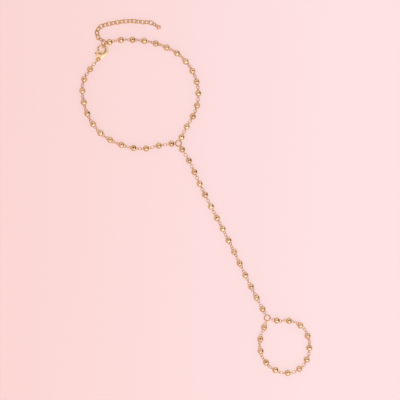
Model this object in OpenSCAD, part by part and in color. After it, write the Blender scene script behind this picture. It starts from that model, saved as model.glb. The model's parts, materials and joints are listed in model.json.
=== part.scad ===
// Hand chain bracelet, lying flat as when it is laid out on a table.
// A wrist chain closes with a lobster clasp that has hooked the catch ring,
// where an extender chain with a ball drop starts. From a junction ring a
// hand chain runs to a finger ring, which closes the finger chain.
// +Z is up from the table, +Y points from the finger loop to the wrist.

/* [Ball chain] */
// Diameter of a ball
ball_d = 3.2; // [2.8:0.1:3.4]
// Wire of the links and of the eyes on the balls
link_wire = 0.3; // [0.26:0.01:0.34]
// Length of a link over its ends
link_len = 2.3; // [2.2:0.1:2.8]
// Width of a link, and of an eye
link_w = 1.75; // [1.65:0.05:2]
// How far an eye stands out of its ball
eye_reach = 1.17; // [1.15:0.01:1.3]
// Gap that linked pieces keep
clear = 0.1; // [0.08:0.01:0.12]

/* [Rings] */
// Wire of the junction ring and the finger ring, which lie flat
join_wire = 0.64; // [0.5:0.02:0.66]
// Outer diameter of the junction ring and the finger ring
join_d = 3.5; // [3.4:0.1:3.8]
// Wire of the rings that stand on edge
ring_wire = 0.42; // [0.36:0.02:0.48]
// Outer diameter of the catch ring
ring_d = 3.4; // [3.2:0.1:3.8]
// Outer diameter of the ring on the tail of the clasp
tail_ring_d = 3; // [2.9:0.1:3.2]
// Outer diameter of the ring at the end of the extender
end_ring_d = 2.4; // [2.2:0.1:2.8]

/* [Extender] */
// Wire of the extender's links
ext_wire = 0.5; // [0.35:0.05:0.55]
// Length of an extender link over its ends
ext_len = 3.4; // [3:0.1:3.8]
// Width of an extender link
ext_w = 2.8; // [2.5:0.1:2.9]
// Diameter of the ball drop at the end
drop_d = 2.3; // [2:0.1:2.8]

/* [Clasp] */
// Thickness of the clasp at its middle
clasp_t = 2.6; // [2.4:0.1:3]
// Diameter of the sphere that domes each face
dome_d = 22; // [20:1:30]
// Diameter of the clasp's round head
head_d = 6; // [5.8:0.1:6.4]
// Distance from the tail hole to the middle of the head
head_at = 5; // [4.8:0.1:5.4]
// Diameter of the opening that the hook goes round
hook_hole_d = 2.8; // [2.6:0.1:3]
// Wall of the hook at its thinnest
hook_wall = 0.75; // [0.65:0.05:0.9]
// Diameter of the hole in the tail
tail_hole_d = 1.1; // [1:0.1:1.3]
// Wall round the tail hole
tail_wall = 0.5; // [0.4:0.05:0.6]
// Thickness of the tail round its hole
tail_t = 0.9; // [0.8:0.05:1]
// Thickness of the lever
lever_t = 1; // [0.8:0.1:1.1]
// Width of the lever's gate, which closes the hook
gate_w = 0.85; // [0.75:0.05:0.95]
// Diameter of the lever's pivot pin
pin_d = 0.8; // [0.7:0.05:0.9]
// Wall of the lever round its pivot
hub_wall = 0.4; // [0.3:0.05:0.45]
// Running gap round the lever and in its bore
lever_gap = 0.1; // [0.08:0.01:0.12]
// Angle by which the lever opens
lever_turn = 25; // [15:1:28]

/* [Hidden] */
$fn = 48;

// Colours: polished light gold for the chains, a little deeper for the clasp
gold = "#d9b27c";
clasp_gold = "#d8b46e";

// Steps of a smooth curve between two route points
curve_steps = 8;
// Half the length over which a route's direction is taken
feel = 0.6;

// Heights above the table: ball chain, extender, standing rings, clasp
ball_z = ball_d / 2;
ext_z = drop_d / 2;
join_r = (join_d - join_wire) / 2;
ring_r = (ring_d - ring_wire) / 2;
catch_z = ring_d / 2;
// Turn up the catch ring's wire at which the extender's first link hangs
catch_link_turn = 40;
catch_link_z = catch_z + ring_r * sin(catch_link_turn);
tail_ring_r = (tail_ring_d - ring_wire) / 2;
end_ring_r = (end_ring_d - ring_wire) / 2;
clasp_z = clasp_t / 2;

// A gap between two balls: shortest and longest pitch that keeps every link clear
tight = ball_d + max(link_len + 2 * clear, 2 * eye_reach + 1.5 * clear);
taut = ball_d + 2 * eye_reach + link_len - 4 * link_wire - 2.5 * clear;
play = taut - tight;
// From a ball's centre to the middle of its eye's hole
eye_mid = ball_d / 2 + (eye_reach - link_wire) / 2;
// From a link's end wire, on its centre line, to the ring wire that it holds
function ring_hold(wire) = (link_wire + wire) / 2 + clear;
// From a ring's wire to the first ball: it hangs on the ring by a link, or by its own eye where wire is 0
function ball_reach(wire) = wire == 0 ? eye_mid : eye_mid + link_len - link_wire - ring_hold(wire);

// Where the pieces lie, in the plane of the table
junction_at = [-8.5, 26.5];
finger_ring_at = [35, -59];
tail_hole_at = [-48, 67.5];
clasp_turn = -25;
chain_turn = 230;
catch_turn = 58;
// How far the catch ring's centre lies from the middle of the hook's opening
catch_out = 1.85;
// Turns on the junction ring of the lower, upper and hand chains, and on the
// finger ring of the hand chain and the finger chain's two ends
junction_turns = [175, 64, -60];
finger_turns = [116, -10, 255];

// Routes of the chains between their rings, points chosen by hand
lower_points = [[-52, 62.5], [-55, 57], [-55.5, 50.5], [-54, 43.5], [-51, 37], [-46, 31],
                [-39.5, 27], [-32, 24.5], [-24.5, 24], [-17.5, 25.5]];
upper_points = [[-4.5, 34.5], [-1, 40.5], [1, 47], [1, 53.5], [-0.5, 59.5], [-4, 65.5],
                [-9, 70.5], [-15.5, 74], [-23, 76.3], [-30.5, 77.2], [-37.5, 77.1]];
hand_points = [[-3, 17.5], [2, 6.5], [7.5, -4.5], [13, -15], [18.5, -26], [24, -37.5], [29.5, -48.5]];
finger_points = [[41, -60.5], [46, -60.5], [51, -62.5], [54.5, -67], [55.6, -73], [54.8, -78.5],
                 [51.5, -83.4], [46, -85.9], [40, -85], [35, -81.5], [32, -76], [31.5, -70]];
ext_points = [[-46, 77], [-47.7, 78.4], [-48.4, 80.6], [-47.5, 83], [-45, 84.4],
              [-38.7, 85.8], [-32, 86.5], [-26.5, 86], [-21.8, 85.6], [-18.2, 83.5]];

// Share of its play that each gap between two balls takes up, from the clasp on
lower_slack = [0, 0, 0, 0, 0.3, 0, 0, 0.5, 0.5, 0.8, 0.8, 0.8];
upper_slack = [0, 0.2, 0, 0.4, 0, 0, 0, 0.1, 0.1, 0, 0.2, 0, 0, 0];
hand_slack = [0.9, 0.7, 0.8, 0.3, 0.9, 0.8, 0.4, 0.9, 0.6, 0.7, 0.9, 0.8, 0.3, 0.8];
finger_slack = [0.3, 0.3, 0.8, 0.2, 0.2, 0.2, 0.5, 0.6, 0.2, 0.7, 0.2, 0.3];

function total(v) = v * [for (x = v) 1];
function unit(v) = v / norm(v);
function polar(r, a) = [r * cos(a), r * sin(a)];
function turned(v, a) = [v.x * cos(a) - v.y * sin(a), v.x * sin(a) + v.y * cos(a)];
function raise(points, z) = [for (p = points) [p.x, p.y, z]];

// Point of a flat ring's wire, and of a standing ring's wire at height z
function flat_ring_point(at, r, a) = let (p = at + polar(r, a)) [p.x, p.y, ball_z];
function standing_ring_point(at, r, a, mid_z, z) =
    let (p = at + polar(sqrt(r * r - (z - mid_z) * (z - mid_z)), a)) [p.x, p.y, z];

// Smooth curve through route points, and the tables of x, y and z along its length
function between(a, b, c, d, t) =
    b + 0.5 * t * ((c - a) + t * ((2 * a - 5 * b + 4 * c - d) + t * (3 * (b - c) + d - a)));
function smooth(p) =
    let (n = len(p) - 1, q = concat([2 * p[0] - p[1]], p, [2 * p[n] - p[n - 1]]))
    concat([for (i = [0 : n - 1]) for (k = [0 : curve_steps - 1])
            between(q[i], q[i + 1], q[i + 2], q[i + 3], k / curve_steps)], [p[n]]);
function track(points) =
    let (p = smooth(points), n = len(p) - 1,
         s = [for (i = 0, d = 0; i <= n; i = i + 1, d = d + (i <= n ? norm(p[i] - p[i - 1]) : 0)) d])
    [for (axis = [0 : 2]) [for (i = [0 : n]) [s[i], p[i][axis]]]];
function track_len(t) = t[0][len(t[0]) - 1][0];
function place(t, d) = [for (axis = [0 : 2]) lookup(d, t[axis])];
function heading(t, d) = unit(place(t, d + feel) - place(t, d - feel));

// Distances along a track at which its balls lie. The gaps share out their play
// as the slack table says, about the mean that fills the room.
function ball_stops(t, first, last, slack) =
    let (room = track_len(t) - first - last,
         mean = total(slack) / len(slack),
         n = max(floor(room / (tight + mean * play)), ceil(room / taut)),
         used = [for (i = [0 : n - 1]) slack[i % len(slack)]],
         middle = total(used) / n,
         m = (room / n - tight) / play,
         spread = min(1, m / (middle - min(used)), (1 - m) / (max(used) - middle)))
    [for (i = 0, d = first; i <= n;
          d = d + tight + play * (m + spread * ((i < n ? used[i] : 0) - middle)), i = i + 1) d];

// How far from two balls a link holds their eyes: gap is the way from the first
// ball, or ring, to the second, and ways is the sum of their eyes' directions
function held_at(gap, ways) =
    let (q = gap * ways, w = ways * ways, r = link_len - link_wire)
    (q - sqrt(max(0, q * q - w * (gap * gap - r * r)))) / w;

// Lays a piece that is drawn along +X at a place, in a direction, rolled about it
module lay(at, way, roll) {
    translate(at)
        rotate([roll, -asin(way.z), atan2(way.y, way.x)])
            children();
}

module ring(r, wire) {
    rotate_extrude()
        translate([r, 0])
            circle(d = wire);
}

// Round end of a wire loop, bulging towards +X
module wire_bend(wid, wire) {
    rotate(-90)
        rotate_extrude(angle = 180)
            translate([(wid - wire) / 2, 0])
                circle(d = wire);
}

// Closed loop of wire, flat, along X
module wire_loop(len, wid, wire) {
    for (turn = [0, 180])
        rotate(turn) {
            translate([(len - wid) / 2, 0, 0])
                wire_bend(wid, wire);
            translate([0, (wid - wire) / 2, 0])
                rotate([0, 90, 0])
                    cylinder(d = wire, h = len - wid, center = true);
        }
}

// Ball on a loop of wire, which stands out at both ends as its eyes
module eyed_ball() {
    sphere(d = ball_d);
    wire_loop(ball_d + 2 * eye_reach, link_w, link_wire);
}

// Link from one held point to the other
module link_between(a, b, roll) {
    lay((a + b) / 2, unit(b - a), roll)
        wire_loop(link_len, link_w, link_wire);
}

// Chain of eyed balls and links along a track. first_wire and last_wire are the
// wires of the rings on which its ends hang by a link, and 0 where an end hangs
// by a ball's own eye. The eyes roll from first_roll to last_roll along the chain.
module ball_chain(points, slack, first_wire, last_wire, first_roll, last_roll) {
    t = track(points);
    stops = ball_stops(t, ball_reach(first_wire), ball_reach(last_wire), slack);
    n = len(stops) - 1;
    balls = [for (d = stops) place(t, d)];
    from = place(t, 0);
    to = place(t, track_len(t));
    row = concat([from], balls, [to]);
    ways = [for (i = [0 : n])
            i == 0 && first_wire == 0 ? unit(balls[0] - from) :
            i == n && last_wire == 0 ? unit(to - balls[n]) :
            unit(unit(row[i + 1] - row[i]) + unit(row[i + 2] - row[i + 1]))];
    rolls = [for (i = [0 : n]) first_roll + (last_roll - first_roll) * i / n];
    for (i = [0 : n])
        lay(balls[i], ways[i], rolls[i])
            eyed_ball();
    for (i = [0 : n - 1]) {
        h = held_at(balls[i + 1] - balls[i], ways[i] + ways[i + 1]);
        link_between(balls[i] + h * ways[i], balls[i + 1] - h * ways[i + 1],
                     (rolls[i] + rolls[i + 1]) / 2 + 90);
    }
    if (first_wire > 0) {
        hold = from - ring_hold(first_wire) * unit(balls[0] - from);
        h = held_at(balls[0] - hold, ways[0]);
        link_between(hold, balls[0] - h * ways[0], rolls[0] + 90);
    }
    if (last_wire > 0) {
        hold = to - ring_hold(last_wire) * unit(balls[n] - to);
        h = held_at(hold - balls[n], ways[n]);
        link_between(balls[n] + h * ways[n], hold, rolls[n] + 90);
    }
}

// The clasp's own frame: tail hole at the origin, hook towards +Y
head_c = [0.1, head_at];
head_r = head_d / 2;
tail_r = tail_hole_d / 2 + tail_wall;
hook_r = hook_hole_d / 2;
// The hook's wall is thinnest on this side of the head
thin_turn = 130;
hook_c = head_c + polar(head_r - hook_r - hook_wall, thin_turn);
// Round the hook's opening: where its tip ends, where the belly's lip starts and the lip's direction
tip_turn = 204;
lip_turn = 250;
lip_way = 212;
// The lever: its pivot below the hook's opening, with a wall between them
pivot_turn = -60;
pivot_wall = 0.48;
hub_r = pin_d / 2 + lever_gap + hub_wall;
pivot_c = hook_c + polar(hook_r + pivot_wall + hub_r, pivot_turn);
// The lever's tab for the thumb, which stands out of the head
tab_turn = 227;
tab_out = 0.65;
tab_r = 0.4;
tab_c = head_c + polar(head_r + tab_out, tab_turn);
tab_open_c = pivot_c + turned(tab_c - pivot_c, lever_turn);
// The lever's elbow, where its gate starts
elbow_turn = 243;
elbow_r = gate_w / 2;
elbow_c = hook_c + polar(hook_r + elbow_r, elbow_turn);
// The lever's room starts in the hook's opening and leaves the body through its mouth
room_heel_turn = 280;
room_mouth_turn = 218;
// How far the tail's flat faces reach past its round end
facing_edge = 0.3;
// Height of a cut that goes right through the clasp
through = clasp_t + 1;

module place_clasp() {
    translate([tail_hole_at.x, tail_hole_at.y, clasp_z])
        rotate(clasp_turn)
            children();
}

tail_way = polar(1, chain_turn);
// The ring leans on the far side of the tail hole, a little more than the gap away
tail_hang = (tail_hole_d - ring_wire) / 2 - 2 * clear;
tail_ring_at = tail_hole_at + (tail_ring_r - tail_hang) * tail_way;
tail_ring_point = standing_ring_point(tail_ring_at, tail_ring_r, chain_turn, tail_ring_d / 2, ball_z);
catch_at = tail_hole_at + turned(hook_c, clasp_turn) + polar(catch_out, catch_turn);

module wrist_chain_lower() {
    color(gold)
        ball_chain(concat([tail_ring_point], raise(lower_points, ball_z),
                          [flat_ring_point(junction_at, join_r, junction_turns[0])]),
                   lower_slack, first_wire = ring_wire, last_wire = 0, first_roll = 90, last_roll = 270);
}

module wrist_chain_upper() {
    color(gold)
        ball_chain(concat([flat_ring_point(junction_at, join_r, junction_turns[1])],
                          raise(upper_points, ball_z),
                          [standing_ring_point(catch_at, ring_r, catch_turn, catch_z, ball_z)]),
                   upper_slack, first_wire = 0, last_wire = 0, first_roll = 90, last_roll = 180);
}

module hand_chain() {
    color(gold)
        ball_chain(concat([flat_ring_point(junction_at, join_r, junction_turns[2])],
                          raise(hand_points, ball_z),
                          [flat_ring_point(finger_ring_at, join_r, finger_turns[0])]),
                   hand_slack, first_wire = 0, last_wire = join_wire, first_roll = 90, last_roll = 180);
}

module finger_chain() {
    color(gold)
        ball_chain(concat([flat_ring_point(finger_ring_at, join_r, finger_turns[1])],
                          raise(finger_points, ball_z),
                          [flat_ring_point(finger_ring_at, join_r, finger_turns[2])]),
                   finger_slack, first_wire = join_wire, last_wire = join_wire, first_roll = 0,
                   last_roll = 180);
}

module junction_ring() {
    color(gold)
        translate([junction_at.x, junction_at.y, ball_z])
            ring(join_r, join_wire);
}

module finger_ring() {
    color(gold)
        translate([finger_ring_at.x, finger_ring_at.y, ball_z])
            ring(join_r, join_wire);
}

module standing_ring(at, z, turn, r) {
    translate([at.x, at.y, z])
        rotate([90, 0, turn])
            ring(r, ring_wire);
}

module catch_ring() {
    color(gold)
        standing_ring(catch_at, catch_z, catch_turn, ring_r);
}

module tail_ring() {
    color(gold)
        standing_ring(tail_ring_at, tail_ring_d / 2, chain_turn, tail_ring_r);
}

// Extender: links, end ring and drop lie along one track, which comes down from
// the catch ring to the height at which the links rest on their edges
ext_start = standing_ring_point(catch_at, ring_r, catch_turn, catch_z, catch_link_z);
ext_drops = 3;
ext_track = track(concat([ext_start], [for (i = [0 : len(ext_points) - 1])
    [ext_points[i].x, ext_points[i].y, ext_z + (catch_link_z - ext_z) * max(0, 1 - (i + 1) / ext_drops)]]));
ext_hold = ext_len / 2 - ext_wire - ring_wire / 2 - 1.5 * clear;
ext_pitch_max = ext_len - 2 * ext_wire - 3 * clear;
ext_tail = ext_hold + end_ring_r;
drop_reach = end_ring_r + drop_d / 2 + (eye_reach - link_wire) / 2;
ext_room = track_len(ext_track) - ext_hold - ext_tail - drop_reach;
ext_last = ceil(ext_room / ext_pitch_max);
ext_pitch = ext_room / ext_last;
end_ring_stop = track_len(ext_track) - drop_reach;
drop_loop = drop_d / 2 + eye_reach;
// The links turn from nearly flat at the catch ring to lying on their edges
first_lean = 20;
settle_links = 3;
function ext_roll(i) = 90 * i - first_lean - (45 - first_lean) * min(1, i / settle_links);

module lay_on_ext(d, i) {
    lay(place(ext_track, d), heading(ext_track, d), ext_roll(i))
        children();
}

module extender_chain() {
    color(gold)
        for (i = [0 : ext_last])
            lay_on_ext(ext_hold + i * ext_pitch, i)
                wire_loop(ext_len, ext_w, ext_wire);
}

module end_ring() {
    color(gold)
        lay_on_ext(end_ring_stop, ext_last + 1)
            ring(end_ring_r, ring_wire);
}

module end_drop() {
    color(gold)
        lay_on_ext(track_len(ext_track), ext_last + 2) {
            sphere(d = drop_d);
            translate([-drop_loop / 2, 0, 0])
                wire_loop(drop_loop, link_w, link_wire);
        }
}

// Turn of the line that touches two circles, seen from the first; side is 1 or -1
function touch_turn(a, ra, b, rb, side) =
    atan2(b.y - a.y, b.x - a.x) + side * acos((ra - rb) / norm(b - a));

// What a belt round two circles encloses between them
module web(a, ra, b, rb) {
    left = touch_turn(a, ra, b, rb, 1);
    right = touch_turn(a, ra, b, rb, -1);
    polygon([a + polar(ra, left), a + polar(ra, right), b + polar(rb, right), b + polar(rb, left)]);
}

// Outline of the whole clasp, without the hook's opening and the tail hole
module clasp_outline() {
    translate(head_c)
        circle(r = head_r);
    circle(r = tail_r);
    web([0, 0], tail_r, head_c, head_r);
}

// Mouth on the left, which the lever's gate closes
module hook_mouth() {
    lip = hook_c + polar(hook_r, lip_turn);
    polygon([hook_c, hook_c + polar(head_d, tip_turn), lip + polar(head_d, lip_way),
             lip - polar(hook_r / 3, lip_way)]);
}

// Room in the middle of the body for the lever from closed to open
module lever_room() {
    room_r = hub_r + lever_gap;
    tab_room_r = tab_r + lever_gap;
    low = touch_turn(pivot_c, room_r, tab_open_c, tab_room_r, 1);
    high = touch_turn(pivot_c, room_r, elbow_c, elbow_r + lever_gap, -1);
    low_end = tab_open_c + polar(tab_room_r, low);
    translate(pivot_c)
        circle(r = room_r);
    polygon([pivot_c + polar(room_r, high), pivot_c + polar(room_r, low), low_end,
             low_end + polar(head_r, low - 90), hook_c + polar(2 * head_d, room_mouth_turn),
             hook_c + polar(hook_r / 2, room_mouth_turn), hook_c + polar(0.8 * hook_r, room_heel_turn)]);
}

// Lens that gives the clasp its domed faces
module clasp_dome() {
    out = (dome_d - clasp_t) / 2;
    intersection() {
        translate([0, pivot_c.y, out])
            sphere(d = dome_d, $fn = 120);
        translate([0, pivot_c.y, -out])
            sphere(d = dome_d, $fn = 120);
    }
}

module clasp_body() {
    color(clasp_gold)
        place_clasp() {
            difference() {
                intersection() {
                    linear_extrude(through, center = true)
                        clasp_outline();
                    clasp_dome();
                }
                translate([hook_c.x, hook_c.y, 0])
                    cylinder(r = hook_r, h = through, center = true);
                linear_extrude(through, center = true)
                    hook_mouth();
                cylinder(d = tail_hole_d, h = through, center = true);
                linear_extrude(lever_t + 2 * lever_gap, center = true)
                    lever_room();
                for (side = [-1, 1])
                    translate([0, 0, side * (tail_t + clasp_t) / 2])
                        cylinder(r = tail_r + facing_edge, h = clasp_t, center = true);
            }
            translate([pivot_c.x, pivot_c.y, 0])
                cylinder(d = pin_d, h = lever_t + 4 * lever_gap, center = true);
        }
}

// Gate: a stretch of a band round the hook's opening, the running gap short of the tip
module gate() {
    end_turn = tip_turn + asin(lever_gap / hook_r);
    intersection() {
        translate(hook_c)
            difference() {
                circle(r = hook_r + gate_w);
                circle(r = hook_r);
            }
        polygon([hook_c, hook_c + polar(head_d, end_turn), hook_c + polar(head_d, elbow_turn)]);
    }
}

module clasp_lever() {
    color(clasp_gold)
        place_clasp()
            linear_extrude(lever_t, center = true)
                difference() {
                    union() {
                        translate(pivot_c)
                            circle(r = hub_r);
                        translate(elbow_c)
                            circle(r = elbow_r);
                        translate(tab_c)
                            circle(r = tab_r);
                        web(pivot_c, hub_r, elbow_c, elbow_r);
                        web(elbow_c, elbow_r, tab_c, tab_r);
                        web(tab_c, tab_r, pivot_c, hub_r);
                        polygon([pivot_c, elbow_c, tab_c]);
                        gate();
                    }
                    translate(pivot_c)
                        circle(d = pin_d + 2 * lever_gap);
                }
}

wrist_chain_lower();
wrist_chain_upper();
hand_chain();
finger_chain();
extender_chain();
junction_ring();
finger_ring();
catch_ring();
tail_ring();
end_ring();
end_drop();
clasp_body();
clasp_lever();
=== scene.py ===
# %% [markdown]
# # A hand chain bracelet, laid out flat
#
# The object is a piece of gold-plated jewellery: a chain of small balls goes
# round the wrist, another one runs down the back of the hand, and a third one
# goes round a finger. A lobster clasp and an extender chain close the wrist
# loop. Each cell below makes one thing and says why it is made that way.

# %% Load the frame
import json
import math

import bmesh
import bpy
import numpy as np
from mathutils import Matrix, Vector
from mathutils.kdtree import KDTree


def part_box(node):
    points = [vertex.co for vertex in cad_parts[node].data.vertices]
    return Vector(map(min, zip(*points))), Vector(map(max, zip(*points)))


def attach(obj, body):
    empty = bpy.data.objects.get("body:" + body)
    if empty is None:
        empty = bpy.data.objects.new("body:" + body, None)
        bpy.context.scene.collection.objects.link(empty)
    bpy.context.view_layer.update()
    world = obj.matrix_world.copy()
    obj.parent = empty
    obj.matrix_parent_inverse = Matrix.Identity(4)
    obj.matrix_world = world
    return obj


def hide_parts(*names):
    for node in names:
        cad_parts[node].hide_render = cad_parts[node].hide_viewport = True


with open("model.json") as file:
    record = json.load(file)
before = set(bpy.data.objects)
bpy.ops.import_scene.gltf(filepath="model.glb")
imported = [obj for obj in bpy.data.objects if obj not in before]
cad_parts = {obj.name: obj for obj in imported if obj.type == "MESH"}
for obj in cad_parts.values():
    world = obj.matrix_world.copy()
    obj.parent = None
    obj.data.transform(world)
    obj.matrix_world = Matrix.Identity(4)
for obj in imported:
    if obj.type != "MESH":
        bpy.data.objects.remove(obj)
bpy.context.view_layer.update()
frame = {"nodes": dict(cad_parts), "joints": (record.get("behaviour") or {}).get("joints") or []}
scene = bpy.context.scene
MM = 0.001

# %% [markdown]
# ## The view
#
# The photograph was taken from straight above, so the camera looks down the Z
# axis. A long lens from nearly a metre up keeps the picture free of
# perspective, as a product photographer's would. One pixel of the picture is
# 0.49 mm on the table, and that alone sets the lens.

# %% Camera
PICTURE_SIDE = 400
PIXEL = 0.49 * MM
ORIGIN_PIXEL = (195.75, 197.5)
CHAIN_HEIGHT = 1.5 * MM
CAMERA_HEIGHT = 900 * MM
SENSOR_WIDTH = 36


def table_place(pixel_x, pixel_y):
    """Where a pixel of the photograph lies on the table."""
    return Vector(((pixel_x - ORIGIN_PIXEL[0]) * PIXEL, (ORIGIN_PIXEL[1] - pixel_y) * PIXEL, 0))


camera = bpy.data.objects.new("camera", bpy.data.cameras.new("camera"))
scene.collection.objects.link(camera)
camera.location = table_place(PICTURE_SIDE / 2, PICTURE_SIDE / 2) + Vector((0, 0, CAMERA_HEIGHT))
camera.data.sensor_width = SENSOR_WIDTH
camera.data.lens = SENSOR_WIDTH * (CAMERA_HEIGHT - CHAIN_HEIGHT) / (PICTURE_SIDE * PIXEL)
camera.data.clip_start = 0.01
camera.data.clip_end = 10
scene.camera = camera
scene.view_settings.view_transform = "Standard"
print("lens", round(camera.data.lens), "mm")

# %% [markdown]
# ## Nodes and colours
#
# Every tree in this file, for geometry and for shaders, is built with one
# helper. It adds a node, sets its options, and fills each input with a value
# or with a link from another node. Colours are written as hex values, the way
# a picture editor shows them, and turned to the linear numbers that the
# renderer works with.

# %% Helpers for trees
def add(tree, kind, inputs=None, **options):
    """Adds a node to a tree. An input is given a plain value, or the output of another node to link from."""
    made = tree.nodes.new(kind)
    for name, value in options.items():
        setattr(made, name, value)
    for name, value in (inputs or {}).items():
        if isinstance(value, bpy.types.NodeSocket):
            tree.links.new(value, made.inputs[name])
        else:
            made.inputs[name].default_value = value
    return made


def linear(hex_colour):
    """Turns an sRGB hex colour into linear red, green, blue and alpha."""
    parts = [int(hex_colour[i:i + 2], 16) / 255 for i in (1, 3, 5)]
    return [p / 12.92 if p <= 0.04045 else ((p + 0.055) / 1.055) ** 2.4 for p in parts] + [1]


def new_tree(name, sockets):
    """Starts a geometry tree with named inputs. It returns the tree, its input node and its output node."""
    tree = bpy.data.node_groups.new(name, "GeometryNodeTree")
    tree.interface.new_socket("Geometry", in_out="OUTPUT", socket_type="NodeSocketGeometry")
    for socket_name, kind in sockets.items():
        tree.interface.new_socket(socket_name, in_out="INPUT", socket_type="NodeSocket" + kind)
    return tree, tree.nodes.new("NodeGroupInput").outputs, tree.nodes.new("NodeGroupOutput").inputs


# %% [markdown]
# ## The gold
#
# Everything is brass with a thin coat of light gold, in four finishes. The
# balls are tumbled in a barrel until they are mirrors, with fine dents left
# over. The drawn wire of the links and eyes between them is a little less
# smooth. The extender's links and the jump rings come from a darker bath. The
# clasp is cast: its gold is satin and paler. Such metal takes nearly all of
# its look from what is round it, and its colour drifts a little from piece to
# piece, because the coat isn't equally thick. Real dents and rub marks would
# be finer than a pixel here, so they are drawn coarse enough to show. A noise
# keeps near its middle, so only its middle part is spread over the two tones
# of the coat and the two ends of the gloss.

# %% Gold-plated brass
COAT_DRIFT = 5 * MM
COAT_LOW, COAT_HIGH = 0.35, 0.65
RUB_MARK = 0.6 * MM
RUB_LOW, RUB_HIGH = 0.3, 0.7


def plated_brass(name, thin_coat, thick_coat, roughness, dent_size, dent_depth):
    """Plating whose tone and gloss vary. The dents' size and depth are in millimetres."""
    material = bpy.data.materials.new(name)
    material.use_nodes = True
    tree = material.node_tree
    shader = tree.nodes["Principled BSDF"]
    shader.inputs["Metallic"].default_value = 1
    place = add(tree, "ShaderNodeTexCoord").outputs["Object"]
    coat = add(tree, "ShaderNodeTexNoise", {"Vector": place, "Scale": 1 / COAT_DRIFT, "Detail": 2})
    tone = add(tree, "ShaderNodeMapRange", {0: coat.outputs["Fac"], 1: COAT_LOW, 2: COAT_HIGH})
    colour = add(tree, "ShaderNodeMix", {0: tone.outputs[0], 6: linear(thin_coat), 7: linear(thick_coat)},
                 data_type="RGBA")
    rub = add(tree, "ShaderNodeTexNoise", {"Vector": place, "Scale": 1 / RUB_MARK, "Detail": 4})
    gloss = add(tree, "ShaderNodeMapRange",
                {0: rub.outputs["Fac"], 1: RUB_LOW, 2: RUB_HIGH, 3: roughness[0], 4: roughness[1]})
    dents = add(tree, "ShaderNodeTexNoise", {"Vector": place, "Scale": 1 / (dent_size * MM), "Detail": 1})
    bump = add(tree, "ShaderNodeBump",
               {"Strength": 1, "Distance": dent_depth * MM, "Height": dents.outputs["Fac"]})
    tree.links.new(colour.outputs[2], shader.inputs["Base Color"])
    tree.links.new(gloss.outputs[0], shader.inputs["Roughness"])
    tree.links.new(bump.outputs["Normal"], shader.inputs["Normal"])
    return material


ball_gold = plated_brass("tumbled_light_gold_plate", "#DDBE9A", "#E3CCA4", (0.08, 0.20), 1.5, 0.34)
wire_gold = plated_brass("drawn_wire_gold_plate", "#DFB884", "#E6C490", (0.12, 0.24), 1.0, 0.06)
link_gold = plated_brass("bent_link_gold_plate", "#D4AF74", "#DCBB80", (0.12, 0.24), 1.0, 0.06)
clasp_gold = plated_brass("cast_satin_gold_plate", "#F4D8AE", "#F6DEB6", (0.30, 0.42), 1.6, 0.05)
print("materials", ball_gold.name, wire_gold.name, link_gold.name, clasp_gold.name)

# %% [markdown]
# ## Where the pieces lie
#
# The frame holds each chain as one node whose mesh is a heap of triangles. The
# triangles of a ball or a link share their corners, so labels that spread from
# corner to corner sort them into loose solids. A ball with its two eyes, and
# a link, look the same from both ends, so the middle of their box is their
# centre, and the directions in which their points spread most and least are
# their length and the way that their wire loop faces.

# %% Split a node into its loose solids
def loose_solids(name):
    """The loose solids of a CAD node, each as an array of its corners, in metres."""
    mesh = frame["nodes"][name].data
    places = np.empty(len(mesh.vertices) * 3, np.float32)
    mesh.vertices.foreach_get("co", places)
    loops = np.empty(len(mesh.loops), np.int32)
    mesh.loops.foreach_get("vertex_index", loops)
    places, same = np.unique(places.reshape(-1, 3), axis=0, return_inverse=True)
    corners = same.reshape(-1)[loops].reshape(-1, 3)
    label = np.arange(len(places))
    while True:
        spread = label.copy()
        np.minimum.at(spread, corners.ravel(), np.repeat(label[corners].min(axis=1), 3))
        spread = spread[spread]
        if (spread == label).all():
            break
        label = spread
    return [places[label == k] for k in np.unique(label)]


# %% Read how a solid lies
END_SHARE = 0.7


def lie_of(points):
    """Centre, direction of the length, direction that the wire loop faces, and the three sizes.

    The sizes are along, across and through the loop. Points past END_SHARE of the furthest one's distance
    count as the ends.
    """
    centre = (points.min(axis=0) + points.max(axis=0)) / 2
    away = points - centre
    far = away[np.linalg.norm(away, axis=1) > END_SHARE * np.linalg.norm(away, axis=1).max()]
    along = np.linalg.eigh(far.T @ far)[1][:, 2]
    off = away - np.outer(away @ along, along)
    ends = off[np.abs(away @ along) > END_SHARE * np.abs(away @ along).max()]
    across = np.linalg.eigh(ends.T @ ends)[1][:, 2]
    faces = np.cross(along, across)
    sizes = [np.ptp(away @ way) for way in (along, across, faces)]
    return centre, along, faces, sizes


# %% [markdown]
# ## Bent wire
#
# Links, and the eyes on the balls, are one and the same form: round wire bent
# to a loop with straight sides and round ends. A rectangle whose corners are
# filleted until the ends are half circles is that line, and Curve to Mesh
# pulls the wire's round section along it. The bends are a hair smaller than
# half the width, so that two of them never meet in one point. The form is a
# tree of its own, so that the other trees can call it with their sizes.

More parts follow.
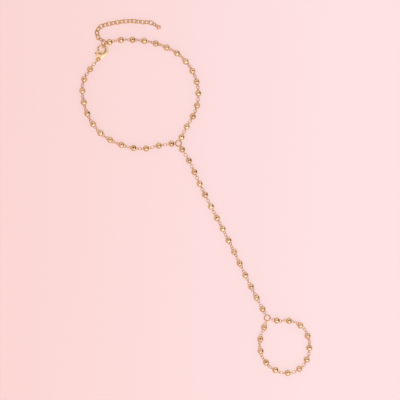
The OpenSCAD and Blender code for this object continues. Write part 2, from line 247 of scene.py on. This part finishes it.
# %% A tree for a loop of wire
WIRE_SIDES = 10
BEND_STEPS = 6
BEND_SHARE = 0.4999
bent_wire, given, result = new_tree("bent_wire", {"Length": "Float", "Width": "Float", "Wire": "Float"})
line_length = add(bent_wire, "ShaderNodeMath", {0: given["Length"], 1: given["Wire"]}, operation="SUBTRACT")
line_width = add(bent_wire, "ShaderNodeMath", {0: given["Width"], 1: given["Wire"]}, operation="SUBTRACT")
bend = add(bent_wire, "ShaderNodeMath", {0: line_width.outputs[0], 1: BEND_SHARE}, operation="MULTIPLY")
wire_radius = add(bent_wire, "ShaderNodeMath", {0: given["Wire"], 1: 0.5}, operation="MULTIPLY")
rectangle = add(bent_wire, "GeometryNodeCurvePrimitiveQuadrilateral",
                {"Width": line_length.outputs[0], "Height": line_width.outputs[0]})
loop_line = add(bent_wire, "GeometryNodeFilletCurve",
                {"Curve": rectangle.outputs[0], "Radius": bend.outputs[0], "Count": BEND_STEPS},
                mode="POLY")
section = add(bent_wire, "GeometryNodeCurvePrimitiveCircle",
              {"Resolution": WIRE_SIDES, "Radius": wire_radius.outputs[0]})
tube = add(bent_wire, "GeometryNodeCurveToMesh",
           {"Curve": loop_line.outputs[0], "Profile Curve": section.outputs[0]})
bent_wire.links.new(tube.outputs[0], result[0])

# %% [markdown]
# ## Balls and links along a chain
#
# A chain has some fifteen balls and as many links, all alike, so they are
# instances. The points that they stand on carry two directions, and Axes to
# Rotation turns those into the turn of each instance. A ball is a sphere with
# its poles on the chain's line, joined with a loop of wire that is longer
# than the ball, so that it stands out at both ends as the eyes. The ball and
# the wire have materials of their own.

# %% A tree for a ball chain
BALL_SEGMENTS = 32
ball_chain, given, result = new_tree("ball_chain", {
    "Points": "Geometry", "Ball": "Float", "Eyed length": "Float", "Eye shift": "Float",
    "Link length": "Float", "Width": "Float", "Wire": "Float",
    "Ball metal": "Material", "Wire metal": "Material"})
along = add(ball_chain, "GeometryNodeInputNamedAttribute", {"Name": "along"}, data_type="FLOAT_VECTOR")
faces = add(ball_chain, "GeometryNodeInputNamedAttribute", {"Name": "faces"}, data_type="FLOAT_VECTOR")
is_ball = add(ball_chain, "GeometryNodeInputNamedAttribute", {"Name": "is_ball"}, data_type="BOOLEAN")
is_link = add(ball_chain, "FunctionNodeBooleanMath", {0: is_ball.outputs[0]}, operation="NOT")
turn = add(ball_chain, "FunctionNodeAxesToRotation", {0: along.outputs[0], 1: faces.outputs[0]},
           primary_axis="X", secondary_axis="Z")

# %% The ball with its eyes, and the link
radius = add(ball_chain, "ShaderNodeMath", {0: given["Ball"], 1: 0.5}, operation="MULTIPLY")
sphere = add(ball_chain, "GeometryNodeMeshUVSphere",
             {"Segments": BALL_SEGMENTS, "Rings": BALL_SEGMENTS // 2, "Radius": radius.outputs[0]})
plated_sphere = add(ball_chain, "GeometryNodeSetMaterial",
                    {"Geometry": sphere.outputs["Mesh"], "Material": given["Ball metal"]})
poles_along = add(ball_chain, "GeometryNodeTransform",
                  {"Geometry": plated_sphere.outputs[0], "Rotation": (0, math.pi / 2, 0)})
eyes = add(ball_chain, "GeometryNodeGroup", node_tree=bent_wire)
link = add(ball_chain, "GeometryNodeGroup", node_tree=bent_wire)
for loop, length in ((eyes, "Eyed length"), (link, "Link length")):
    ball_chain.links.new(given[length], loop.inputs["Length"])
    ball_chain.links.new(given["Width"], loop.inputs["Width"])
    ball_chain.links.new(given["Wire"], loop.inputs["Wire"])
shift = add(ball_chain, "ShaderNodeCombineXYZ", {"X": given["Eye shift"]})
plated_eyes = add(ball_chain, "GeometryNodeSetMaterial",
                  {"Geometry": eyes.outputs[0], "Material": given["Wire metal"]})
plated_link = add(ball_chain, "GeometryNodeSetMaterial",
                  {"Geometry": link.outputs[0], "Material": given["Wire metal"]})
shifted_eyes = add(ball_chain, "GeometryNodeTransform",
                   {"Geometry": plated_eyes.outputs[0], "Translation": shift.outputs[0]})
eyed_ball = add(ball_chain, "GeometryNodeJoinGeometry", {0: poles_along.outputs[0]})
ball_chain.links.new(shifted_eyes.outputs[0], eyed_ball.inputs[0])

# %% The copies on the points
placed = add(ball_chain, "GeometryNodeJoinGeometry")
for chosen, form in ((is_ball, eyed_ball), (is_link, plated_link)):
    copies = add(ball_chain, "GeometryNodeInstanceOnPoints",
                 {"Points": given["Points"], "Selection": chosen.outputs[0], "Instance": form.outputs[0],
                  "Rotation": turn.outputs[0]})
    ball_chain.links.new(copies.outputs[0], placed.inputs[0])
real = add(ball_chain, "GeometryNodeRealizeInstances", {0: placed.outputs[0]})
smooth = add(ball_chain, "GeometryNodeSetShadeSmooth", {"Geometry": real.outputs[0], "Shade Smooth": True})
ball_chain.links.new(smooth.outputs[0], result[0])
print(ball_chain.name, len(ball_chain.nodes), "nodes, on", bent_wire.name, len(bent_wire.nodes), "nodes")

# %% [markdown]
# A tree runs as a modifier on a mesh that is nothing but the points. Its
# inputs are set by their identifiers before anything is evaluated, the result
# is copied out as a plain mesh, and the object with the modifier goes.

# %% Helpers that run a tree
def points_mesh(name, lies, **flags):
    """A mesh of single points that carry their two directions, and flags such as is_ball."""
    mesh = bpy.data.meshes.new(name)
    mesh.from_pydata([lie[0] for lie in lies], [], [])
    for attribute, k in (("along", 1), ("faces", 2)):
        values = np.array([lie[k] for lie in lies], np.float32).ravel()
        mesh.attributes.new(attribute, "FLOAT_VECTOR", "POINT").data.foreach_set("vector", values)
    for attribute, values in flags.items():
        mesh.attributes.new(attribute, "BOOLEAN", "POINT").data.foreach_set("value", values)
    return mesh


def grow(name, tree, mesh, sizes):
    """Runs a geometry tree on a mesh and returns what it makes as a plain object."""
    seed = bpy.data.objects.new(name + "_seed", mesh)
    scene.collection.objects.link(seed)
    modifier = seed.modifiers.new("tree", "NODES")
    modifier.node_group = tree
    for socket in tree.interface.items_tree:
        if socket.in_out == "INPUT" and socket.name in sizes:
            modifier[socket.identifier] = sizes[socket.name]
    state = bpy.context.evaluated_depsgraph_get()
    grown = bpy.data.meshes.new_from_object(seed.evaluated_get(state), depsgraph=state)
    piece = bpy.data.objects.new(name, grown)
    scene.collection.objects.link(piece)
    bpy.data.objects.remove(seed)
    return piece


def dress(piece, body, slot, *nodes):
    """Says which body a piece moves with and which CAD nodes it stands for. Its slot is not used."""
    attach(piece, body)
    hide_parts(*nodes)
    print(piece.name, len(piece.data.polygons), "faces")


# %% [markdown]
# Three chains meet at the junction ring, and the fourth goes round the finger.
# In each one a ball is as thick as its sphere and a link only as thick as its
# wire, which tells the two apart. Their sizes are measured, so that the tree's
# copies are as large as the frame's solids.

# %% Make the four ball chains
for node in ("wrist_chain_lower", "wrist_chain_upper", "hand_chain", "finger_chain"):
    lies = [lie_of(points) for points in loose_solids(node)]
    ball_size = max(lie[3][2] for lie in lies)
    balls = [lie[3][2] > ball_size / 2 for lie in lies]
    eyed_length = np.mean([lie[3][0] for lie, ball in zip(lies, balls) if ball])
    link_sizes = np.mean([lie[3] for lie, ball in zip(lies, balls) if not ball], axis=0)
    print(node, sum(balls), "balls of", round(ball_size / MM, 2), "mm, eyed", round(eyed_length / MM, 2),
          "mm, links", (link_sizes / MM).round(2), "mm")
    piece = grow(node + "_fine", ball_chain, points_mesh(node, lies, is_ball=balls),
                 {"Ball": float(ball_size), "Eyed length": float(eyed_length),
                  "Link length": float(link_sizes[0]), "Width": float(link_sizes[1]),
                  "Wire": float(link_sizes[2]), "Ball metal": ball_gold, "Wire metal": wire_gold})
    dress(piece, "bracelet", "gold", node)

# %% [markdown]
# ## The extender
#
# The extender is a plain chain of round-ended links, each a quarter turn from
# its neighbours, so one form on the read points makes it. It lets the clasp
# close the wrist loop at several lengths.

# %% A tree for a plain chain
link_chain, given, result = new_tree("link_chain", {
    "Points": "Geometry", "Length": "Float", "Width": "Float", "Wire": "Float", "Metal": "Material"})
along = add(link_chain, "GeometryNodeInputNamedAttribute", {"Name": "along"}, data_type="FLOAT_VECTOR")
faces = add(link_chain, "GeometryNodeInputNamedAttribute", {"Name": "faces"}, data_type="FLOAT_VECTOR")
turn = add(link_chain, "FunctionNodeAxesToRotation", {0: along.outputs[0], 1: faces.outputs[0]},
           primary_axis="X", secondary_axis="Z")
link = add(link_chain, "GeometryNodeGroup",
           {"Length": given["Length"], "Width": given["Width"], "Wire": given["Wire"]}, node_tree=bent_wire)
copies = add(link_chain, "GeometryNodeInstanceOnPoints",
             {"Points": given["Points"], "Instance": link.outputs[0], "Rotation": turn.outputs[0]})
real = add(link_chain, "GeometryNodeRealizeInstances", {0: copies.outputs[0]})
smooth = add(link_chain, "GeometryNodeSetShadeSmooth", {"Geometry": real.outputs[0], "Shade Smooth": True})
plated = add(link_chain, "GeometryNodeSetMaterial",
             {"Geometry": smooth.outputs[0], "Material": given["Metal"]})
link_chain.links.new(plated.outputs[0], result[0])

# %% Make the extender
lies = [lie_of(points) for points in loose_solids("extender_chain")]
link_sizes = np.mean([lie[3] for lie in lies], axis=0)
print("extender_chain", len(lies), "links", (link_sizes / MM).round(2), "mm")
piece = grow("extender_chain_fine", link_chain, points_mesh("extender_chain", lies),
             {"Length": float(link_sizes[0]), "Width": float(link_sizes[1]), "Wire": float(link_sizes[2]),
              "Metal": link_gold})
dress(piece, "bracelet", "gold", "extender_chain")

# %% [markdown]
# ## The ball drop
#
# The extender ends in a ball with one eye. The ball chain's tree makes it too:
# its wire loop is shorter, and is shifted until only one end stands out. The
# ball's centre is found by fitting a sphere to the half that has no eye, and
# what lies well outside that sphere is the eye.

# %% Measure the drop
EYE_FROM = 1.05
ring_centre = lie_of(loose_solids("end_ring")[0])[0]
points = loose_solids("end_drop")[0].astype(float)
middle = (points.min(axis=0) + points.max(axis=0)) / 2
bare = points[(points - middle) @ (middle - ring_centre) > 0]
fit = np.linalg.lstsq(np.c_[2 * bare, np.ones(len(bare))], (bare ** 2).sum(axis=1), rcond=None)[0]
drop_centre = fit[:3]
drop_radius = math.sqrt(fit[3] + drop_centre @ drop_centre)
away = points - drop_centre
eye = away[np.linalg.norm(away, axis=1) > EYE_FROM * drop_radius]
eye_way = eye.mean(axis=0) / np.linalg.norm(eye.mean(axis=0))
off = eye - np.outer(eye @ eye_way, eye_way)
ways = np.linalg.eigh(off.T @ off)[1]
eye_faces, eye_across = ways[:, 1], ways[:, 2]
reach = (eye @ eye_way).max()
print("end_drop", round(2 * drop_radius / MM, 2), "mm across, its eye reaches", round(reach / MM, 2), "mm")

# %% Make the drop
lie = (drop_centre, eye_way, eye_faces)
drop = grow("end_drop_fine", ball_chain, points_mesh("end_drop", [lie], is_ball=[True]),
            {"Ball": 2 * drop_radius, "Eyed length": reach, "Eye shift": reach / 2, "Link length": reach,
             "Width": float(np.ptp(eye @ eye_across)), "Wire": float(np.ptp(eye @ eye_faces)),
             "Ball metal": ball_gold, "Wire metal": wire_gold})
dress(drop, "bracelet", "gold", "end_drop")

# %% [markdown]
# ## Jump rings
#
# A jump ring is cut from a coil of wire, hooked in and pressed shut, and a
# hairline joint stays where its ends meet. An arc that stops just short of a
# full circle, with its ends capped, shows that joint. Two of the rings lie
# flat, two stand on edge and the last one leans, and each one turns its joint
# to a side where nothing hangs.

# %% A tree for a jump ring
RING_STEPS = 48
RING_WIRE_SIDES = 12
JOINT = math.radians(3)
jump_ring, given, result = new_tree("jump_ring", {
    "Points": "Geometry", "Diameter": "Float", "Wire": "Float", "Metal": "Material"})
along = add(jump_ring, "GeometryNodeInputNamedAttribute", {"Name": "along"}, data_type="FLOAT_VECTOR")
faces = add(jump_ring, "GeometryNodeInputNamedAttribute", {"Name": "faces"}, data_type="FLOAT_VECTOR")
turn = add(jump_ring, "FunctionNodeAxesToRotation", {0: faces.outputs[0], 1: along.outputs[0]},
           primary_axis="Z", secondary_axis="X")
line_across = add(jump_ring, "ShaderNodeMath", {0: given["Diameter"], 1: given["Wire"]},
                  operation="SUBTRACT")
line_radius = add(jump_ring, "ShaderNodeMath", {0: line_across.outputs[0], 1: 0.5}, operation="MULTIPLY")
wire_radius = add(jump_ring, "ShaderNodeMath", {0: given["Wire"], 1: 0.5}, operation="MULTIPLY")
arc = add(jump_ring, "GeometryNodeCurveArc",
          {"Resolution": RING_STEPS, "Radius": line_radius.outputs[0], "Start Angle": JOINT / 2,
           "Sweep Angle": 2 * math.pi - JOINT}, mode="RADIUS")
section = add(jump_ring, "GeometryNodeCurvePrimitiveCircle",
              {"Resolution": RING_WIRE_SIDES, "Radius": wire_radius.outputs[0]})
tube = add(jump_ring, "GeometryNodeCurveToMesh",
           {"Curve": arc.outputs[0], "Profile Curve": section.outputs[0], "Fill Caps": True})
copies = add(jump_ring, "GeometryNodeInstanceOnPoints",
             {"Points": given["Points"], "Instance": tube.outputs[0], "Rotation": turn.outputs[0]})
real = add(jump_ring, "GeometryNodeRealizeInstances", {0: copies.outputs[0]})
smooth = add(jump_ring, "GeometryNodeSetShadeSmooth", {"Geometry": real.outputs[0], "Shade Smooth": True})
plated = add(jump_ring, "GeometryNodeSetMaterial",
             {"Geometry": smooth.outputs[0], "Material": given["Metal"]})
jump_ring.links.new(plated.outputs[0], result[0])

# %% Make the five jump rings
JOINT_WAYS = {"junction_ring": (1, 0, 0), "finger_ring": (1, 1.2, 0), "catch_ring": (0, 0, 1),
              "tail_ring": (0, 0, 1), "end_ring": (0, 1, 1)}
for node, joint_way in JOINT_WAYS.items():
    points = loose_solids(node)[0]
    centre = (points.min(axis=0) + points.max(axis=0)) / 2
    away = points - centre
    ring_faces = np.linalg.eigh(away.T @ away)[1][:, 0]
    wire = float(np.ptp(away @ ring_faces))
    diameter = 2 * float(np.linalg.norm(away, axis=1).max())
    piece = grow(node + "_fine", jump_ring, points_mesh(node, [(centre, joint_way, ring_faces)]),
                 {"Diameter": diameter, "Wire": wire, "Metal": link_gold})
    print(node, round(diameter / MM, 2), "mm across, of", round(wire / MM, 2), "mm wire")
    dress(piece, "bracelet", "gold", node)

# %% [markdown]
# ## The lobster clasp
#
# The clasp is a small casting: its body and its lever come out of the mould
# with crisp edges, and tumbling rounds them. The frame's solids have the right
# form but keep their edges crisp. Rebuilding each one from small cubes
# and smoothing the result a few times wears all its edges down evenly, inner
# ones too, which a bevel can't do on such a mix of faces. Then the two faces
# are crowned: past the slot for the lever, they sink the more the nearer they
# are to an edge, along the curve of an ellipse. The ring round the tail's hole
# is rounded across its wall. The sizes here, and the work, are in millimetres.

# %% Sizes of the castings
WELD = 0.001
CUBE = 0.05
TUMBLE_PASSES = 6
TUMBLE_STRENGTH = 0.5
# The slot's half height and a hair more, which nothing sinks below
SLOT_HALF = 0.62
# How far in from an edge a face still falls, and how deep: 1 would reach the slot
CROWN_WIDTH = 1.7
CROWN_DEPTH = 0.9
# A point whose normal rises less than this lies on the clasp's side
SIDE_SLOPE = 0.3
TAIL_HOLE = Vector((-48, 67.5))
TAIL_HOLE_RADIUS = 0.55
TAIL_WALL = 0.5
# How far from the wall's middle it is rounded, in half walls, and how much: 1 would end in an edge
TAIL_REACH = 1.2
TAIL_ROUNDING = 0.6
clasp_low, clasp_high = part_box("clasp_body")
print("clasp", [round(side / MM, 1) for side in clasp_high - clasp_low], "mm")


# %% Crown the faces
def crown(form):
    """Rounds the clasp's two faces down towards their edges."""
    form.normal_update()
    middle = (clasp_low.z + clasp_high.z) / 2 / MM
    rims = [v.co for v in form.verts if abs(v.normal.z) < SIDE_SLOPE and abs(v.co.z - middle) > SLOT_HALF]
    rim_finder = KDTree(len(rims))
    for k, place in enumerate(rims):
        rim_finder.insert((place.x, place.y, 0), k)
    rim_finder.balance()
    for v in form.verts:
        proud = abs(v.co.z - middle) - SLOT_HALF
        off = ((v.co.xy - TAIL_HOLE).length - TAIL_HOLE_RADIUS - TAIL_WALL / 2) / (TAIL_WALL / 2)
        if abs(off) < TAIL_REACH:
            v.co.z = middle + (v.co.z - middle) * math.sqrt(1 - TAIL_ROUNDING * min(abs(off), 1) ** 2)
        elif proud > 0:
            inward = min(rim_finder.find((v.co.x, v.co.y, 0))[2] / CROWN_WIDTH, 1)
            keep = math.sqrt(1 - CROWN_DEPTH * (1 - inward) ** 2)
            v.co.z = middle + math.copysign(SLOT_HALF + proud * keep, v.co.z - middle)


# %% Tumble a casting
def tumbled(name, node, metal):
    """A copy of a CAD node with worn edges and crowned faces."""
    mesh = frame["nodes"][node].data.copy()
    form = bmesh.new()
    form.from_mesh(mesh)
    bmesh.ops.remove_doubles(form, verts=form.verts, dist=WELD * MM)
    bmesh.ops.scale(form, vec=Vector((1, 1, 1)) / MM, verts=form.verts)
    form.to_mesh(mesh)
    form.free()
    rough = bpy.data.objects.new(name + "_rough", mesh)
    scene.collection.objects.link(rough)
    cubes = rough.modifiers.new("cubes", "REMESH")
    cubes.mode = "VOXEL"
    cubes.voxel_size = CUBE
    worn = rough.modifiers.new("worn", "SMOOTH")
    worn.factor = TUMBLE_STRENGTH
    worn.iterations = TUMBLE_PASSES
    state = bpy.context.evaluated_depsgraph_get()
    smooth_mesh = bpy.data.meshes.new_from_object(rough.evaluated_get(state), depsgraph=state)
    bpy.data.objects.remove(rough)
    form = bmesh.new()
    form.from_mesh(smooth_mesh)
    crown(form)
    bmesh.ops.scale(form, vec=Vector((MM, MM, MM)), verts=form.verts)
    for face in form.faces:
        face.smooth = True
        face.material_index = 0
    form.to_mesh(smooth_mesh)
    form.free()
    smooth_mesh.materials.clear()
    smooth_mesh.materials.append(metal)
    piece = bpy.data.objects.new(name, smooth_mesh)
    scene.collection.objects.link(piece)
    return piece


# %% Make the clasp's body and lever
clasp = tumbled("clasp_body_fine", "clasp_body", clasp_gold)
dress(clasp, "bracelet", "clasp_gold", "clasp_body")
lever = tumbled("clasp_lever_fine", "clasp_lever", clasp_gold)
dress(lever, "lever", "clasp_gold", "clasp_lever")

# %% [markdown]
# The lever turns on a pin that is pressed through the body. Its two ends are
# flattened to small rivet heads, which show on the clasp's faces. The lower
# one ends where the body does, so that the clasp still lies flat.

# %% Rivet heads
RIVET_RADIUS = 0.5 * MM
RIVET_DOME = 0.14 * MM
RIVET_SUNK = 0.06 * MM
RIVET_SEGMENTS = 24
pivot = Vector(frame["joints"][0]["pos_m"])
rivets = bpy.data.meshes.new("rivet_heads")
form = bmesh.new()
for middle_height in (clasp_low.z + RIVET_DOME, clasp_high.z - RIVET_SUNK):
    head = bmesh.ops.create_uvsphere(form, u_segments=RIVET_SEGMENTS, v_segments=RIVET_SEGMENTS // 2,
                                     radius=RIVET_RADIUS)["verts"]
    bmesh.ops.scale(form, vec=(1, 1, RIVET_DOME / RIVET_RADIUS), verts=head)
    bmesh.ops.translate(form, vec=(pivot.x, pivot.y, middle_height), verts=head)
for face in form.faces:
    face.smooth = True
form.to_mesh(rivets)
form.free()
rivets.materials.append(clasp_gold)
rivet_heads = bpy.data.objects.new("rivet_heads", rivets)
scene.collection.objects.link(rivet_heads)
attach(rivet_heads, "bracelet")
print(rivet_heads.name, len(rivets.polygons), "faces")

# %% [markdown]
# ## Floor, light and surroundings
#
# The bracelet lies on a pink sheet of opal acrylic that is lit from below, so
# its shadows are hardly there. The sheet's glow is painted a little darker on
# its left, as painted shade: light that falls off towards the left.

# %% Floor
FLOOR_SIDE = 4000 * MM
DARK_UNTIL, PALE_FROM = -100 * MM, 70 * MM
GLOW = 2.0
edge = FLOOR_SIDE / 2
floor_mesh = bpy.data.meshes.new("floor")
floor_mesh.from_pydata([(-edge, -edge, 0), (edge, -edge, 0), (edge, edge, 0), (-edge, edge, 0)],
                       [], [(0, 1, 2, 3)])
floor = bpy.data.objects.new("floor", floor_mesh)
scene.collection.objects.link(floor)
acrylic = bpy.data.materials.new("backlit_pink_opal_acrylic")
acrylic.use_nodes = True
tree = acrylic.node_tree
sheet = tree.nodes["Principled BSDF"]
across = add(tree, "ShaderNodeSeparateXYZ", {0: add(tree, "ShaderNodeTexCoord").outputs["Object"]})
# Painted shade: the glow is darker towards the left, where the light falls off
painted_falloff = add(tree, "ShaderNodeMapRange", {0: across.outputs["X"], 1: DARK_UNTIL, 2: PALE_FROM})
pink = add(tree, "ShaderNodeMix", {0: painted_falloff.outputs[0], 6: linear("#A88F8D"), 7: linear("#AB999B")},
           data_type="RGBA").outputs[2]
tree.links.new(pink, sheet.inputs["Emission Color"])
sheet.inputs["Emission Strength"].default_value = GLOW
sheet.inputs["Base Color"].default_value = linear("#786C6C")
sheet.inputs["Roughness"].default_value = 0.9
sheet.inputs["Specular IOR Level"].default_value = 0.1
floor_mesh.materials.append(acrylic)
print("floor", FLOOR_SIDE, "m on a side, of", acrylic.name)

# %% [markdown]
# Polished metal shows its surroundings, so the rest of the light is a picture
# for the balls to mirror. A soft box stands in front, on the finger loop's
# side, and gives each ball its bright spot.

# %% Key light
def soft_box(name, place, size, power, colour):
    """A square area light that faces the middle of the object."""
    light = bpy.data.objects.new(name, bpy.data.lights.new(name, "AREA"))
    light.data.size = size
    light.data.energy = power
    light.data.color = linear(colour)[:3]
    light.location = place
    light.rotation_euler = (-Vector(place)).to_track_quat("-Z", "Y").to_euler()
    scene.collection.objects.link(light)
    print(name, size, "m wide, of", power, "W")


soft_box("key_light", place=(0.10, -0.42, 0.48), size=0.5, power=0.85, colour="#FFEADC")

# %% [markdown]
# The room is pale all round, pink on the left and dark on the right, and the
# camera's dark arm hangs overhead, a little behind the middle. Each of these
# is a band of colours by the cosine of the angle from one direction, and the
# bands are multiplied.

# %% The room
ROOM_STRENGTH = 1.25
STUDIO = (
    ("overhead", (0, 0, 1), ((0.0, "#C8BEBC"), (0.5, "#F0EDED"), (1.0, "#FFFFFF"))),
    ("camera arm", (0.03, 0.24, 0.97),
     ((0.82, "#FFFFFF"), (0.91, "#E6C8A8"), (0.955, "#5A3416"), (1.0, "#3A1C08"))),
    ("pink side", (-1, -0.3, 0.2), ((-0.2, "#FFFFFF"), (0.4, "#F8E6E8"), (1.0, "#E6C4C8"))),
    ("dark side", (0.95, 0.2, 0.10), ((0.75, "#FFFFFF"), (0.90, "#5A4A36"), (1.0, "#201408"))))
world = bpy.data.worlds.new("pale_studio")
scene.world = world
world.use_nodes = True
tree = world.node_tree
way = add(tree, "ShaderNodeTexCoord").outputs["Generated"]
light = None
for name, side, steps in STUDIO:
    low, high = steps[0][0], steps[-1][0]
    toward = add(tree, "ShaderNodeVectorMath", {0: way, 1: Vector(side).normalized()},
                 operation="DOT_PRODUCT")
    from_low = add(tree, "ShaderNodeMapRange", {0: toward.outputs["Value"], 1: low, 2: high})
    band = add(tree, "ShaderNodeValToRGB", {0: from_low.outputs[0]})
    for position, _ in steps[1:-1]:
        band.color_ramp.elements.new((position - low) / (high - low))
    for element, (_, colour) in zip(band.color_ramp.elements, steps):
        element.color = linear(colour)
    if light is None:
        light = band.outputs[0]
    else:
        light = add(tree, "ShaderNodeMix", {0: 1.0, 6: light, 7: band.outputs[0]}, data_type="RGBA",
                    blend_type="MULTIPLY").outputs[2]
tree.links.new(light, tree.nodes["Background"].inputs["Color"])
tree.nodes["Background"].inputs["Strength"].default_value = ROOM_STRENGTH
print("room", [name for name, _, _ in STUDIO])
